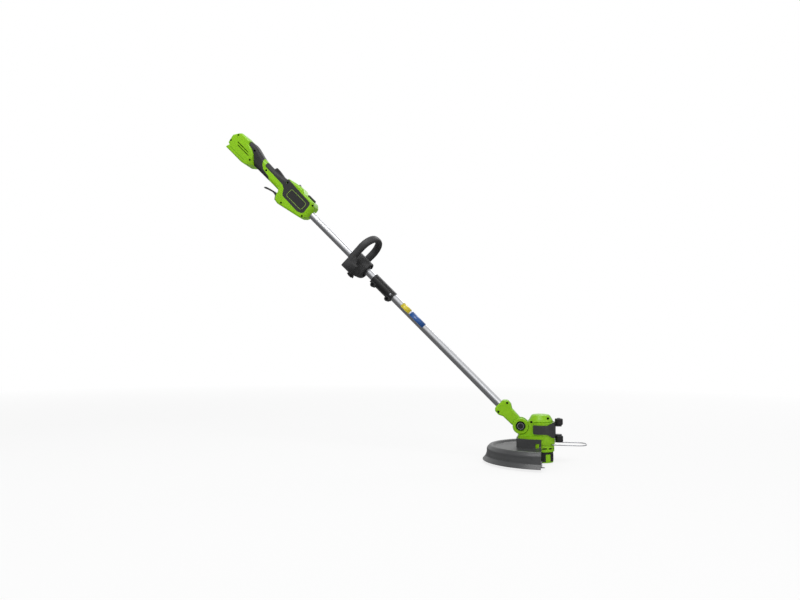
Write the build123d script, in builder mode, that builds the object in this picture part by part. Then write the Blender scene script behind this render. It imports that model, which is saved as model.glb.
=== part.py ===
import os
from math import cos, radians, sin, sqrt, tan

from build123d import *

os.makedirs("parts", exist_ok=True)

# Overall layout, millimetres.
# u runs along the shaft from the rear grip to the head, t stands square to it, upward.
SLOPE = 45.0
PIVOT_U = 1183.0
AXIS_X = 64.5
RUN = 0.05
GAP = 0.4
ca = cos(radians(SLOPE))
sa = sin(radians(SLOPE))

# Rear unit.
DOCK_HALF = 36.0
FRONT_HALF = 27.0
SKIN = 2.2
WALL = 4.6
SCREW_SHANK = 1.8
SCREW_HEAD = 3.3
SCREW_HEAD_TALL = 2.4
SCREW_WELL = 3.7
SCREW_END = 11.0

# Shaft and coupler.
TUBE_R = 12.7
TUBE_WALL = 1.5
TUBE_REAR = 86.0
TUBE_JOIN = 562.0
TUBE_FRONT = 1148.0
SLEEVE_R = 16.2
SLEEVE_REAR = 515.0
SLEEVE_FRONT = 608.0
SLEEVE_EARS = (530.0, 597.0)
EAR_T = -17.8
EAR_R = 8.6
EAR_HALF = 13.0
EAR_BOLT = 2.5
CATCH_U = 597.0
CATCH_R = 3.9

# Loop handle.
LOOP_U = 434.0
LOOP_TURN = 5.0
LOOP_ARM_Y = 52.0
LOOP_TOP = 96.0
LOOP_WIDE = 17.0
LOOP_THICK = 18.0
DRUM_R = 29.0
DRUM_REAR = 424.0
DRUM_FRONT = 483.0
SADDLE_REAR = 420.0
SADDLE_FRONT = 461.0
SADDLE_LOW = -42.0
SADDLE_HALF = 61.0
TONGUE_HALF = 34.0
BOLT_U = 450.0
BOLT_R = 3.0

# Neck and tilt joint.
NECK_REAR = 1089.0
NECK_HALF = 19.0
NECK_SCREW_U = 1105.0
NECK_SCREW_T = (-18.0, 21.0)
KNUCKLE_R = 24.5
CHEEK_IN = 13.0
CHEEK_OUT = 26.0
BARREL_R = 22.5
PIN_R = 10.5
STEM_R = 5.0
WELL_R = 16.0
WELL_FLOOR = 19.0

# Motor head, heights measured from the tilt axis.
CASE_R = 39.0
CASE_WALL = 3.5
CASE_LOW = -55.5
BAND_R = 42.0
SKIRT_R = 36.8
SKIRT_LOW = -76.0
ROLLER_X = 51.6
ROLLER_R = 12.0
AXLE_R = 2.5
LUG_UP = (0.0, 4.0)
LUG_LOW = (-28.0, -24.0)
ROLLER_TALL = 19.2
FLANGE_TOP = -29.5
FLANGE_LOW = -37.5
MOTOR_R = 27.0
MOTOR_LOW = -42.0
MOTOR_TOP = 16.0
SHAFT_R = 4.0

# Cutting guard and plant guard.
COLLAR_IN = 39.3
COLLAR_R = 43.0
GUARD_SPAN = 88.0
WIRE_R = 1.5
WIRE_X = 29.0
WIRE_Z = -53.0
WIRE_Y = 35.0
WIRE_TIP = 132.0

# Spool head.
CUP_R = 33.5
CUP_TOP = -78.0
CUP_LOW = -106.0
COVER_LOW = -109.0
TAB_ANGLE = -58.0
EYELET_Z = -94.0


def on_shaft(u, t=0.0, y=0.0):
    return (u * ca + t * sa, y, t * ca - u * sa)


def station(u, t=0.0):
    return Plane(origin=on_shaft(u, t), x_dir=(0, 1, 0), z_dir=(ca, 0, -sa))


def rounded(corners):
    # Closed outline through corner points, each eased by its own radius.
    count = len(corners)
    arcs = []
    for i in range(count):
        x, y, r = corners[i]
        here = Vector(x, y)
        back = Vector(*corners[i - 1][:2]) - here
        ahead = Vector(*corners[(i + 1) % count][:2]) - here
        a = back.normalized()
        b = ahead.normalized()
        half = radians(a.get_angle(b)) / 2
        reach = min(r / tan(half), 0.47 * back.length, 0.47 * ahead.length)
        r = reach * tan(half)
        mid = here + (a + b).normalized() * (r / sin(half) - r) if r > 0.01 else here
        arcs.append((here + a * reach, mid, here + b * reach, r))
    for i in range(count):
        start, mid, stop, r = arcs[i]
        if r > 0.01:
            ThreePointArc(start, mid, stop)
        Line(stop, arcs[(i + 1) % count][0])


def slab(plane, corners, near, far, inset=0.0):
    # Prism on a rounded outline, from the plane's depth near to depth far.
    with BuildPart() as block:
        with BuildSketch(plane.offset(near)):
            with BuildLine():
                rounded(corners)
            make_face()
            if inset > 0:
                offset(amount=-inset)
        extrude(amount=far - near)
    return block.part


def rod(plane, x, y, r, near, far):
    # Round bar square to a plane, from depth near to depth far.
    with BuildPart() as bar:
        with BuildSketch(plane.offset(near)):
            with Locations((x, y)):
                Circle(r)
        extrude(amount=far - near)
    return bar.part


side = Plane(origin=(0, 0, 0), x_dir=(ca, 0, -sa), z_dir=(0, -1, 0))
pivot = on_shaft(PIVOT_U)
head = Plane(origin=pivot, x_dir=(1, 0, 0), z_dir=(0, -1, 0))
axis_at = (pivot[0] + AXIS_X, 0, pivot[2])
turned = Plane(origin=axis_at, x_dir=(1, 0, 0), z_dir=(0, -1, 0))
level = Plane(origin=axis_at, x_dir=(1, 0, 0), z_dir=(0, 0, 1))
spin = Axis(axis_at, (0, 0, 1))


def radial(angle):
    # Upright plane through the spool axis; x runs outward at the angle, y runs up.
    c = cos(radians(angle))
    n = sin(radians(angle))
    return Plane(origin=axis_at, x_dir=(c, n, 0), z_dir=(n, -c, 0))


def facing(angle):
    # Upright plane that looks outward from the spool axis at the angle.
    c = cos(radians(angle))
    n = sin(radians(angle))
    return Plane(origin=axis_at, x_dir=(-n, c, 0), z_dir=(c, n, 0))


def upright(u):
    # Plane square to t at a place on the shaft; x runs along the shaft.
    return Plane(origin=on_shaft(u), x_dir=(ca, 0, -sa), z_dir=(sa, 0, ca))


def turned_ring(profile, sweep=360.0, start=0.0):
    # Solid of revolution about the spool axis from (radius, height) corners.
    with BuildPart() as ring:
        with BuildSketch(radial(start)):
            with BuildLine():
                rounded(profile)
            make_face()
        revolve(axis=spin, revolution_arc=sweep)
    return ring.part


def cross_head(plane, x, y, seat):
    # Screw standing on its seat: head with a cross recess and a plain shank.
    with BuildPart() as screw:
        add(rod(plane, x, y, SCREW_HEAD, seat, seat + SCREW_HEAD_TALL))
        add(rod(plane, x, y, SCREW_SHANK, -SCREW_END, seat))
        for w, h in ((0.45, 1.7), (1.7, 0.45)):
            add(
                slab(
                    plane, [(x - w, y - h, 0), (x + w, y - h, 0), (x + w, y + h, 0), (x - w, y + h, 0)],
                    seat + SCREW_HEAD_TALL - 1.3, seat + SCREW_HEAD_TALL + 1,
                ),
                mode=Mode.SUBTRACT,
            )
    return screw.part


# Rear unit: dock, grip and front body as one outer form, used at three depths.
DOCK = [
    (-186, -24, 2), (-192, 6, 8), (-179, 24, 8), (-169, 32.5, 8), (-127, 32.5, 3),
    (-124, 21, 6), (-108, 17.5, 10), (-90, 9, 14), (-62, -20.8, 3), (-75, -29.5, 8),
    (-86, -38, 9), (-102, -41, 9), (-183, -41, 1.5), (-178, -26, 0.8),
]
GRIP = [
    (-140, 29.0, -28.0, 31.5, 13), (-95, 27.0, -27.0, 32.0, 13), (-62, 21.5, -21.0, 25.0, 13),
    (-40, 19.5, -20.4, 22.2, 13), (10, 18.5, -20.2, 22.0, 13), (45, 18.5, -20.2, 25.5, 13),
    (72, 20.5, -21.0, 31.0, 13), (104, 22.0, -22.0, 33.0, 13),
]
FRONT = [
    (58, 18, 4), (66, 34, 7), (102, 42.2, 30), (130, 43.5, 12), (144, 36.5, 8),
    (190, 36.5, 7), (202, 27, 10), (207.5, 10, 8), (207.5, -10, 8), (200, -24, 12),
    (188, -34, 14), (128, -47, 30), (95, -54, 12), (79, -51.5, 6), (70, -36, 12),
    (67, -23, 4), (58, -14, 3),
]
# Seen from above, the forward corners of both bodies are well rounded.
DOCK_PLAN = [(-230, -DOCK_HALF, 0), (-61, -DOCK_HALF, 26), (-61, DOCK_HALF, 26), (-230, DOCK_HALF, 0)]
FRONT_PLAN = [(30, -FRONT_HALF, 0), (207.5, -FRONT_HALF, 18), (207.5, FRONT_HALF, 18), (30, FRONT_HALF, 0)]


def dock_form(inset):
    with BuildPart() as form:
        add(slab(side, DOCK, inset - DOCK_HALF, DOCK_HALF - inset, inset))
        sides = form.faces().sort_by(Axis.Y)
        fillet(sides[0].edges() + sides[-1].edges(), max(5.0 - inset, 0.4))
        add(slab(upright(0), DOCK_PLAN, -90, 90, inset), mode=Mode.INTERSECT)
    return form.part


def grip_form(inset):
    with BuildPart() as form:
        for u, half, low, high, corner in GRIP:
            with BuildSketch(station(u, (low + high) / 2)):
                RectangleRounded(2 * (half - inset), high - low - 2 * inset, corner - inset)
        loft()
    return form.part


def front_form(inset):
    with BuildPart() as form:
        add(slab(side, FRONT, inset - FRONT_HALF, FRONT_HALF - inset, inset))
        sides = form.faces().sort_by(Axis.Y)
        fillet(sides[0].edges() + sides[-1].edges(), max(7.0 - inset, 0.4))
        add(slab(upright(0), FRONT_PLAN, -90, 90, inset), mode=Mode.INTERSECT)
    return form.part


dock_outer = dock_form(0)
grip_outer = grip_form(0)
front_outer = front_form(0)

# Rigid core under the soft areas, and the hollow inside it.
GRIP_CORE = [
    (-135, -24, 0), (-95, -23.5, 30), (-62, -17.8, 30), (-40, -17.4, 30), (96, -17.4, 0),
    (96, 28.5, 0), (72, 27.6, 20), (45, 22.4, 30), (10, 19.0, 30), (-40, 19.0, 30),
    (-62, 21.6, 30), (-95, 28.4, 20), (-135, 28, 0),
]
CORE_HALF = 15.9
GRIP_HOLLOW = [
    (-150, -18, 0), (-95, -18, 0), (-62, -14, 0), (80, -14, 0), (80, 21, 0), (45, 17.5, 0),
    (10, 14.5, 0), (-40, 14.5, 0), (-62, 17, 0), (-95, 23, 0), (-150, 23, 0),
]

with BuildPart() as core:
    add(slab(side, GRIP_CORE, -CORE_HALF, CORE_HALF))
    fillet(core.edges().group_by(Axis.Y)[0] + core.edges().group_by(Axis.Y)[-1], 9.0)
    add(front_form(SKIN))

# Soft black areas of the grip, seen from the side.
PAD_AREA = [
    (-160, 50, 0), (-54, 50, 0), (-52, 20, 6), (-45, 6, 8), (-30, -5.6, 8),
    (2, -10.5, 6), (10, -18.5, 3), (12, -50, 0), (-160, -50, 0),
]
INLAY_AREA = [
    (-39, 50, 0), (-35.5, 21, 5), (-31.5, 6.6, 5), (66, 4, 8), (77, -2, 8),
    (91, -22, 10), (168, -24.5, 14), (190, -17, 12), (186, 27, 10), (119, 30, 10),
    (72, 32.5, 3), (63, 30, 3), (60.5, 50, 0),
]
pad_area = slab(side, PAD_AREA, -60, 60)
inlay_area = slab(side, INLAY_AREA, -60, 60)

# Lock-off slot through the top of the grip, trigger slot through the rear of the belly.
LOCK_PIN = (48.0, 16.0)
LOCK_HALF = 7.0
TRIGGER_PIN = (87.0, -36.0)
TRIGGER_HALF = 8.0
TRIGGER_ARM = 5.5
lock_slot = slab(
    side, [(-5, 8, 0), (58, 8, 0), (58, 60, 0), (-5, 60, 0)], -LOCK_HALF - 0.6, LOCK_HALF + 0.6
)
trigger_slot = slab(
    side, [(60, -53, 0), (88, -53, 0), (88, -27, 0), (60, -27, 0)], -TRIGGER_ARM - 0.7, TRIGGER_ARM + 0.7
)
shaft_bore = rod(station(0), 0, 0, TUBE_R + RUN, TUBE_REAR, 220)

# Housing screws: place on the side, depth of the seat under each head, and how far the far post runs.
HOUSING_SCREWS = [
    (-174.5, 18.5, 30.0, 33.0), (-183.0, -12.5, 30.0, 33.0), (-81.5, -14.5, 30.0, 33.0),
    (-95.0, 19.5, 14.0, 15.0), (-18.5, -1.2, 13.5, 15.0), (73.5, 22.0, 19.5, 23.5),
    (105.5, -42.5, 21.0, 23.5), (195.0, 26.5, 21.0, 23.5), (192.0, -23.5, 21.0, 23.5),
]
wells = [rod(side, u, t, SCREW_WELL, seat, 60) for u, t, seat, far in HOUSING_SCREWS]

# Small lamp stud and the low lug on top of the front body.
LAMP_U = 103.5
LAMP_R = 4.2
LAMP_SEAT = 39.5
LUG = [(151, 36.5, 0), (183, 36.5, 0), (183, 42.4, 3), (151, 42.4, 3)]

# Bare plate inside the front inlay.
PLATE = [(99, -13.7, 8), (177.5, -13.7, 8), (177.5, 18, 8), (99, 18, 8)]
PLATE_DEEP = 1.0
plate_right = slab(side, PLATE, FRONT_HALF - PLATE_DEEP, FRONT_HALF)
plate_left = slab(side, PLATE, -FRONT_HALF, PLATE_DEEP - FRONT_HALF)

with BuildPart() as pad_whole:
    add(grip_outer)
    add(pad_area, mode=Mode.INTERSECT)
    add([core.part, dock_outer] + wells, mode=Mode.SUBTRACT)

with BuildPart() as inlay_whole:
    add([grip_outer, front_outer])
    add(inlay_area, mode=Mode.INTERSECT)
    add([core.part, lock_slot, plate_right, plate_left] + wells, mode=Mode.SUBTRACT)

# Posts that take the housing screws, bulkheads that hold the shaft, bosses for the two pins.
stays = [rod(side, u, t, 5.2, -far, seat + 3) for u, t, seat, far in HOUSING_SCREWS]
for u in (112.0, 168.0):
    stays.append(
        slab(
            side, [(u, -16, 0), (u + 5, -16, 0), (u + 5, 34, 0), (u, 34, 0)],
            3 - FRONT_HALF, FRONT_HALF - 3,
        )
    )
stays.append(slab(side, [(-166, -30, 0), (-92, -30, 0), (-92, 40, 0), (-166, 40, 0)], -1.5, 1.5))
for y in (-1, 1):
    stays.append(rod(side, *TRIGGER_PIN, 5.0, y * 12.0, y * 23.0))
    stays.append(rod(side, *LOCK_PIN, 3.6, y * 8.4, y * 13.0))

# Battery channel, open below and behind, with a guide groove in each wall.
openings = [
    slab(side, [(-200, -24.5, 0), (-92, -24.5, 0), (-92, -60, 0), (-200, -60, 0)], -26, 26),
    slab(side, [(-200, -29, 0), (-96, -29, 0), (-96, -34.5, 0), (-200, -34.5, 0)], -30, 30),
    shaft_bore,
    lock_slot,
    trigger_slot,
    rod(side, *TRIGGER_PIN, 2.0 + RUN, -21, 21),
    rod(side, *LOCK_PIN, 1.5 + RUN, -12, 12),
    rod(upright(LAMP_U), 0, 0, LAMP_R, LAMP_SEAT, 60),
]
# Vent slots and the long shallow line on each flank.
VENT_UP = [(-160, -1.4, 1.3), (-104, -1.4, 1.3), (-104, 1.6, 1.3), (-160, 1.6, 1.3)]
VENT_LOW = [(-152, -8.8, 1.3), (-95, -8.8, 1.3), (-95, -5.8, 1.3), (-152, -5.8, 1.3)]
FLANK_LINE = [(-167, -29.8, 0.8), (-94, -29.8, 0.8), (-94, -27.8, 0.8), (-167, -27.8, 0.8)]
for y in (-1, 1):
    openings.append(slab(side, VENT_UP, y * 20, y * 40))
    openings.append(slab(side, VENT_LOW, y * 20, y * 40))
    openings.append(slab(side, FLANK_LINE, y * (DOCK_HALF - 1.1), y * 40))
for u, t, seat, far in HOUSING_SCREWS:
    openings.append(rod(side, u, t, SCREW_SHANK + RUN, -SCREW_END - RUN, seat))

# The hollow leaves every post, bulkhead and boss standing.
dock_floor = slab(side, [(-220, -20.5, 0), (-60, -20.5, 0), (-60, -60, 0), (-220, -60, 0)], -50, 50)

with BuildPart() as dock_hollow:
    add(dock_form(WALL))
    add(dock_floor, mode=Mode.SUBTRACT)
    add(stays, mode=Mode.SUBTRACT)

with BuildPart() as grip_hollow:
    add(slab(side, GRIP_HOLLOW, -12, 12))
    add(stays, mode=Mode.SUBTRACT)

with BuildPart() as front_hollow:
    add(front_form(WALL))
    add(stays, mode=Mode.SUBTRACT)

with BuildPart() as rear_shell:
    add([grip_outer, front_outer])
    add([pad_area, inlay_area], mode=Mode.SUBTRACT)
    add([dock_outer, core.part])
    add([dock_hollow.part, grip_hollow.part, front_hollow.part] + openings + wells, mode=Mode.SUBTRACT)

with BuildPart() as housing_right:
    add(rear_shell.part)
    split(bisect_by=Plane.XZ, keep=Keep.TOP)
housing_right.part.label = "housing_right"

with BuildPart() as housing_left:
    add(rear_shell.part)
    split(bisect_by=Plane.XZ, keep=Keep.BOTTOM)
housing_left.part.label = "housing_left"

with BuildPart() as rear_pad_right:
    add(pad_whole.part)
    split(bisect_by=Plane.XZ, keep=Keep.TOP)
rear_pad_right.part.label = "rear_pad_right"

with BuildPart() as rear_pad_left:
    add(pad_whole.part)
    split(bisect_by=Plane.XZ, keep=Keep.BOTTOM)
rear_pad_left.part.label = "rear_pad_left"

with BuildPart() as grip_inlay_right:
    add(inlay_whole.part)
    split(bisect_by=Plane.XZ, keep=Keep.TOP)
grip_inlay_right.part.label = "grip_inlay_right"

with BuildPart() as grip_inlay_left:
    add(inlay_whole.part)
    split(bisect_by=Plane.XZ, keep=Keep.BOTTOM)
grip_inlay_left.part.label = "grip_inlay_left"

with BuildPart() as label_plate_right:
    add(plate_right)
label_plate_right.part.label = "label_plate_right"

with BuildPart() as label_plate_left:
    add(plate_left)
label_plate_left.part.label = "label_plate_left"

with BuildPart() as housing_screws:
    for u, t, seat, far in HOUSING_SCREWS:
        add(cross_head(side, u, t, seat))
housing_screws.part.label = "housing_screws"

# Trigger: thin curved finger lever, with an arm through the slot to its pin.
TRIGGER = [
    (12, -48, 1.2), (17, -42.4, 4), (34, -37, 30), (53, -32.4, 30), (64, -32.2, 5), (69, -37.5, 4),
    (77.2, -52, 1.5), (72, -54, 2), (62.5, -41.5, 6), (52.7, -39.2, 20), (38.6, -41.7, 30),
    (20, -47.5, 20), (14, -50.2, 1.2),
]
TRIGGER_WEB = [
    (66, -37, 0), (72, -46, 0), (84, -42, 3), (92, -40, 3), (92, -33, 3), (90, -24, 2), (84, -24, 2),
    (82, -33, 2),
]

with BuildPart() as trigger:
    add(slab(side, TRIGGER, -TRIGGER_HALF, TRIGGER_HALF))
    fillet(trigger.edges().group_by(Axis.Y)[0] + trigger.edges().group_by(Axis.Y)[-1], 0.9)
    add(slab(side, TRIGGER_WEB, -TRIGGER_ARM, TRIGGER_ARM))
    add(rod(side, *TRIGGER_PIN, 2.0 + RUN, -12, 12), mode=Mode.SUBTRACT)
trigger.part.label = "trigger"

with BuildPart() as trigger_pin:
    add(rod(side, *TRIGGER_PIN, 2.0, -20, 20))
trigger_pin.part.label = "trigger_pin"

with BuildPart() as trigger_spring:
    add(rod(side, *TRIGGER_PIN, 3.6, 6.2, 11.4))
    add(rod(side, *TRIGGER_PIN, 2.0, 6, 12), mode=Mode.SUBTRACT)
trigger_spring.part.label = "trigger_spring"

LOCK = [
    (-3.6, 12.5, 1.5), (-3.6, 22.5, 1), (-0.5, 31, 1.5), (8.5, 30.4, 3), (41, 25.8, 12), (55, 27.2, 2),
    (56.5, 20, 2), (50, 11.2, 3), (44, 11.2, 3), (36, 12.5, 4),
]

with BuildPart() as lock_off_lever:
    add(slab(side, LOCK, -LOCK_HALF, LOCK_HALF))
    fillet(lock_off_lever.edges().group_by(Axis.Y)[0] + lock_off_lever.edges().group_by(Axis.Y)[-1], 0.9)
    add(rod(side, *LOCK_PIN, 1.5 + RUN, -12, 12), mode=Mode.SUBTRACT)
lock_off_lever.part.label = "lock_off_lever"

with BuildPart() as lock_off_pin:
    add(rod(side, *LOCK_PIN, 1.5, -11.5, 11.5))
lock_off_pin.part.label = "lock_off_pin"

with BuildPart() as lock_off_spring:
    add(rod(upright(10.0), 0, 0, 3.0, -5, 12.5))
    add(rod(upright(10.0), 0, 0, 2.2, -6, 13), mode=Mode.SUBTRACT)
lock_off_spring.part.label = "lock_off_spring"

with BuildPart() as trigger_switch:
    add(slab(side, [(96, -34, 1), (120, -34, 1), (120, -16, 1), (96, -16, 1)], -9, 9))
    add(rod(station(94.0, -26.5), 0, 0, 2.5, 0, 3))
trigger_switch.part.label = "trigger_switch"

with BuildPart() as control_board:
    add(slab(side, [(124, -24, 0), (184, -24, 0), (184, -22, 0), (124, -22, 0)], -17, 17))
    add(slab(side, [(158, -22, 0), (182, -22, 0), (182, -16, 0), (158, -16, 0)], -12, 12))
    add(rod(upright(136.0), 0, 0, 5, -33, -24))
control_board.part.label = "control_board"

# Terminals in the battery channel.
TERMINAL = [(-112, -38, 1), (-92, -38, 0), (-92, -24.5, 0), (-112, -24.5, 0)]
BLADE = [(-128, -35, 1.5), (-112, -35, 0), (-112, -29, 0), (-128, -29, 1.5)]

with BuildPart() as terminal_block:
    add(slab(side, TERMINAL, -16, 16))
    for y in (-6, 0, 6):
        add(
            slab(side, [(-116, -36, 0), (-104, -36, 0), (-104, -40, 0), (-116, -40, 0)], y - 1, y + 1),
            mode=Mode.SUBTRACT,
        )
terminal_block.part.label = "terminal_block"

with BuildPart() as contact_blades:
    for y in (-9, -3, 3, 9):
        add(slab(side, BLADE, y - 0.5, y + 0.5))
contact_blades.part.label = "contact_blades"

with BuildPart() as top_lug:
    add(slab(side, LUG, -7, 7))
    fillet(top_lug.edges().group_by(Axis.Y)[0] + top_lug.edges().group_by(Axis.Y)[-1], 1.5)
top_lug.part.label = "top_lug"

with BuildPart() as lamp_stud:
    add(rod(upright(LAMP_U), 0, 0, LAMP_R, LAMP_SEAT, 45.2))
    fillet(lamp_stud.edges().sort_by(lambda e: e.center().X * sa + e.center().Z * ca)[-1:], 1.6)
lamp_stud.part.label = "lamp_stud"

# Shaft in two lengths, clamped in one sleeve.
with BuildPart() as upper_tube:
    add(rod(station(0), 0, 0, TUBE_R, TUBE_REAR, TUBE_JOIN))
    add(rod(station(0), 0, 0, TUBE_R - TUBE_WALL, TUBE_REAR - 1, TUBE_JOIN + 1), mode=Mode.SUBTRACT)
upper_tube.part.label = "upper_tube"

with BuildPart() as lower_tube:
    add(rod(station(0), 0, 0, TUBE_R, TUBE_JOIN, TUBE_FRONT))
    add(rod(station(0), 0, 0, TUBE_R - TUBE_WALL, TUBE_JOIN - 1, TUBE_FRONT + 1), mode=Mode.SUBTRACT)
    add(rod(side, CATCH_U, 0, CATCH_R + RUN, 5, 30), mode=Mode.SUBTRACT)
lower_tube.part.label = "lower_tube"

EAR_SEAT = 9.0
with BuildPart() as coupler_sleeve:
    add(rod(station(0), 0, 0, SLEEVE_R, SLEEVE_REAR, SLEEVE_FRONT))
    for u in SLEEVE_EARS:
        add(rod(side, u, EAR_T, EAR_R, -EAR_HALF, EAR_HALF))
        add(
            slab(
                side,
                [
                    (u - EAR_R, EAR_T, 0), (u + EAR_R, EAR_T, 0), (u + EAR_R + 4, -8, 0),
                    (u - EAR_R - 4, -8, 0),
                ],
                -EAR_HALF, EAR_HALF,
            )
        )
    add(
        slab(
            side,
            [(SLEEVE_REAR, -18.2, 0), (SLEEVE_FRONT, -18.2, 0), (SLEEVE_FRONT, -6, 0), (SLEEVE_REAR, -6, 0)],
            -10, 10,
        )
    )
    add(slab(side, [(519, 8, 0.6), (604, 8, 0.6), (604, 10.6, 0.6), (519, 10.6, 0.6)], -15, 15))
    coupler_cuts = [
        rod(station(0), 0, 0, TUBE_R, SLEEVE_REAR - 20, SLEEVE_FRONT + 20),
        slab(side, [(500, -40, 0), (620, -40, 0), (620, -11, 0), (500, -11, 0)], -0.8, 0.8),
        rod(side, CATCH_U, 0, CATCH_R + RUN, 5, 30),
        slab(side, [(480, -60, 0), (SLEEVE_REAR, -60, 0), (SLEEVE_REAR, 60, 0), (480, 60, 0)], -40, 40),
        slab(side, [(SLEEVE_FRONT, -60, 0), (640, -60, 0), (640, 60, 0), (SLEEVE_FRONT, 60, 0)], -40, 40),
    ]
    for u in SLEEVE_EARS:
        coupler_cuts.append(rod(side, u, EAR_T, EAR_BOLT + RUN, -20, 20))
        coupler_cuts.append(rod(side, u, EAR_T, 5.0, EAR_SEAT, 20))
        coupler_cuts.append(rod(side, u, EAR_T, 5.4, -20, -EAR_SEAT))
    add(coupler_cuts, mode=Mode.SUBTRACT)
coupler_sleeve.part.label = "coupler_sleeve"

with BuildPart() as coupler_bolts:
    for u in SLEEVE_EARS:
        add(rod(side, u, EAR_T, 4.4, EAR_SEAT, EAR_SEAT + 3.2))
        add(rod(side, u, EAR_T, EAR_BOLT, -EAR_SEAT - 3.6, EAR_SEAT))
        with BuildSketch(side.offset(EAR_SEAT + 1.4)):
            with Locations((u, EAR_T)):
                RegularPolygon(2.2, 6)
        extrude(amount=3, mode=Mode.SUBTRACT)
coupler_bolts.part.label = "coupler_bolts"

with BuildPart() as coupler_nuts:
    for u in SLEEVE_EARS:
        with BuildSketch(side.offset(-EAR_SEAT - 3.2)):
            with Locations((u, EAR_T)):
                RegularPolygon(4.6, 6)
                Circle(EAR_BOLT, mode=Mode.SUBTRACT)
        extrude(amount=3.2)
coupler_nuts.part.label = "coupler_nuts"

with BuildPart() as coupler_catch:
    add(rod(side, CATCH_U, 0, CATCH_R, 8, 17.6))
    fillet(coupler_catch.edges().sort_by(Axis.Y)[:1], 1.6)
    add(rod(side, CATCH_U, 0, 5.4, 6.8, 8.4))
coupler_catch.part.label = "coupler_catch"

with BuildPart() as catch_spring:
    add(rod(side, CATCH_U, 0, 4.2, -4, 6.8))
    add(rod(side, CATCH_U, 0, 3.2, -5, 7), mode=Mode.SUBTRACT)
catch_spring.part.label = "catch_spring"

# Loop handle: arch swept over a saddle, drum clamp around the shaft, bolt and wing knob below.
SPRING_T = 48.0
BEND = LOOP_TOP - SPRING_T
loop_c = cos(radians(LOOP_TURN))
loop_s = sin(radians(LOOP_TURN))
loop_plane = Plane(
    origin=on_shaft(LOOP_U), x_dir=(loop_s * ca, loop_c, -loop_s * sa),
    z_dir=(loop_c * ca, -loop_s, -loop_c * sa),
)
LOOP_FOOT = (-LOOP_ARM_Y, -12.0)
SADDLE = [
    (-SADDLE_HALF, SADDLE_LOW, 7), (SADDLE_HALF, SADDLE_LOW, 7), (SADDLE_HALF, -6, 6), (-SADDLE_HALF, -6, 6),
]
TONGUE = [
    (SADDLE_REAR, SADDLE_LOW, 0), (DRUM_FRONT - 2, SADDLE_LOW, 24), (DRUM_FRONT - 2, 4, 4),
    (SADDLE_REAR, 4, 4),
]

with BuildPart() as loop_handle:
    with BuildLine(loop_plane) as loop_path:
        Line(LOOP_FOOT, (-LOOP_ARM_Y, SPRING_T))
        ThreePointArc(
            (-LOOP_ARM_Y, SPRING_T),
            (-LOOP_ARM_Y + BEND * (1 - ca), SPRING_T + BEND * sa),
            (-LOOP_ARM_Y + BEND, LOOP_TOP),
        )
        Line((-LOOP_ARM_Y + BEND, LOOP_TOP), (LOOP_ARM_Y - BEND, LOOP_TOP))
        ThreePointArc(
            (LOOP_ARM_Y - BEND, LOOP_TOP),
            (LOOP_ARM_Y - BEND * (1 - ca), SPRING_T + BEND * sa),
            (LOOP_ARM_Y, SPRING_T),
        )
        Line((LOOP_ARM_Y, SPRING_T), (LOOP_ARM_Y, -12))
    with BuildSketch(
        Plane(origin=loop_plane.from_local_coords((*LOOP_FOOT, 0)), x_dir=loop_plane.x_dir, z_dir=(sa, 0, ca))
    ):
        RectangleRounded(LOOP_THICK, LOOP_WIDE, 7.5)
    sweep()
    saddle_parts = [
        slab(station(SADDLE_REAR), SADDLE, 0, SADDLE_FRONT - SADDLE_REAR),
        slab(side, TONGUE, -TONGUE_HALF, TONGUE_HALF),
    ]
    for y in (-1, 1):
        arm_u = LOOP_U - y * LOOP_ARM_Y * loop_s
        foot = [
            (SADDLE_REAR, -30, 0), (SADDLE_FRONT, -30, 0), (SADDLE_FRONT, -16, 8), (arm_u + 8, 14, 14),
            (arm_u - 8, 14, 14), (SADDLE_REAR, -14, 8),
        ]
        saddle_parts.append(slab(side, foot, y * (LOOP_ARM_Y - 7.5), y * (LOOP_ARM_Y + 7.5)))
    add(saddle_parts)
    loop_cuts = [
        rod(station(0), 0, 0, DRUM_R, 380, 520),
        rod(upright(BOLT_U), 0, 0, BOLT_R + RUN, -60, 0),
    ]
    add(loop_cuts, mode=Mode.SUBTRACT)
loop_handle.part.label = "loop_handle"

with BuildPart() as handle_clamp:
    add(rod(station(0), 0, 0, DRUM_R, DRUM_REAR, DRUM_FRONT))
    chamfer(handle_clamp.edges().filter_by(GeomType.CIRCLE), 2.0)
    clamp_cuts = [
        rod(station(0), 0, 0, TUBE_R + RUN, DRUM_REAR - 5, DRUM_FRONT + 5),
        slab(side, [(400, 10, 0), (500, 10, 0), (500, 40, 0), (400, 40, 0)], -1.2, 1.2),
        rod(upright(BOLT_U), 0, 0, BOLT_R + RUN, -60, 0),
        rod(upright(BOLT_U), 0, 0, 6.2, -18, -5),
    ]
    for u in (DRUM_REAR - 1, DRUM_FRONT - 6):
        clamp_cuts.append(rod(station(0), 0, 0, 24.0, u, u + 7))
    add(clamp_cuts, mode=Mode.SUBTRACT)
    for u in (DRUM_REAR, DRUM_FRONT - 7):
        with BuildSketch(station(u)):
            Circle(16.5)
            Circle(TUBE_R + RUN, mode=Mode.SUBTRACT)
            with Locations((0, 14)):
                Rectangle(2.4, 12, mode=Mode.SUBTRACT)
        extrude(amount=7)
handle_clamp.part.label = "handle_clamp"

with BuildPart() as clamp_bolt:
    add(rod(upright(BOLT_U), 0, 0, 6.0, -18, -14.4))
    add(rod(upright(BOLT_U), 0, 0, BOLT_R, -54, -18))
clamp_bolt.part.label = "clamp_bolt"

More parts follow.
